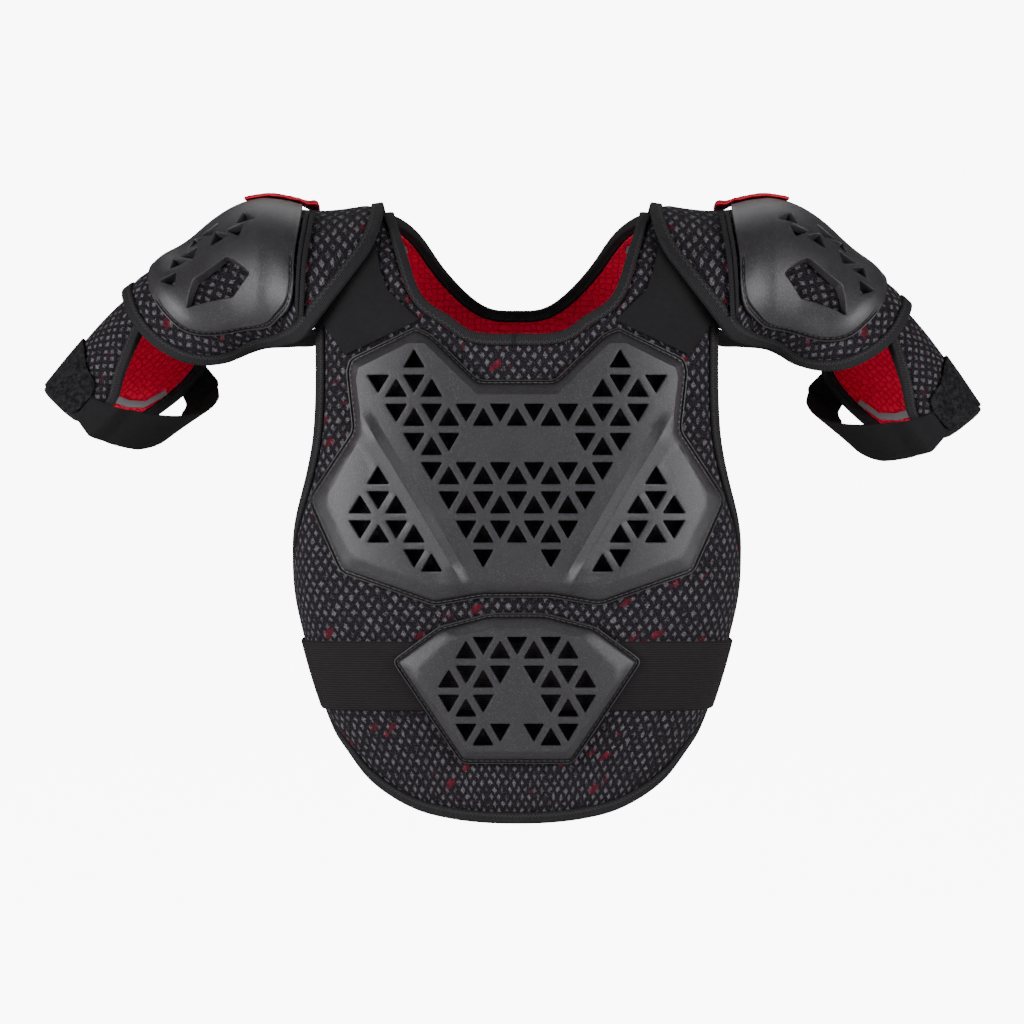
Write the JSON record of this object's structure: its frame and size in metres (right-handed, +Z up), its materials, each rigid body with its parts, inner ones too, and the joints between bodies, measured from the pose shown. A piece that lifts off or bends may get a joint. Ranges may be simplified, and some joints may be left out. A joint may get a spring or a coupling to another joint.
{
  "type": "roost deflector",
  "caption": "Child's motocross chest protector: black mesh vest with pierced moulded plates, shoulder caps, arm guards and red lining.",
  "frame": {"origin": "where the vest hangs on the shoulders: mid-width, mid-depth, at the underside of the highest line of the shoulder yokes", "axes": "+X to the wearer's left, -Y out of the wearer's front, +Z up"},
  "size_m": [0.5892, 0.1844, 0.3879],
  "materials": {
    "mesh_cloth": "black spacer mesh with grey woven squares and a few red flecks",
    "binding_tape": "ribbed black binding tape, matte",
    "red_cloth": "red knitted lining and webbing, matte",
    "strap_cloth": "black elastic and woven strap, matte",
    "moulded": "dark grey moulded plastic with a fine satin grain",
    "grey_tape": "grey grip tape"
  },
  "bodies": {
    "root": {"front_panel": "mesh_cloth", "front_binding": "binding_tape", "back_panel": "mesh_cloth", "back_binding": "binding_tape", "back_lining": "red_cloth", "chest_plate": "moulded", "abdomen_plate": "moulded", "waist_belt": "strap_cloth", "left_shoulder_strap": "strap_cloth", "left_shoulder_pad": "mesh_cloth", "left_pad_binding": "binding_tape", "left_shoulder_cap": "moulded", "left_piping": "binding_tape", "left_pull_tab": "red_cloth", "left_arm_guard": "mesh_cloth", "left_arm_binding": "binding_tape", "left_arm_lining": "red_cloth", "left_arm_strap": "strap_cloth", "left_hook_patch": "strap_cloth", "left_grip_strip": "grey_tape", "left_neck_tape": "grey_tape", "right_shoulder_strap": "strap_cloth", "right_shoulder_pad": "mesh_cloth", "right_pad_binding": "binding_tape", "right_shoulder_cap": "moulded", "right_piping": "binding_tape", "right_pull_tab": "red_cloth", "right_arm_guard": "mesh_cloth", "right_arm_binding": "binding_tape", "right_arm_lining": "red_cloth", "right_arm_strap": "strap_cloth", "right_hook_patch": "strap_cloth", "right_grip_strip": "grey_tape", "right_neck_tape": "grey_tape"}
  },
  "joints": []
}
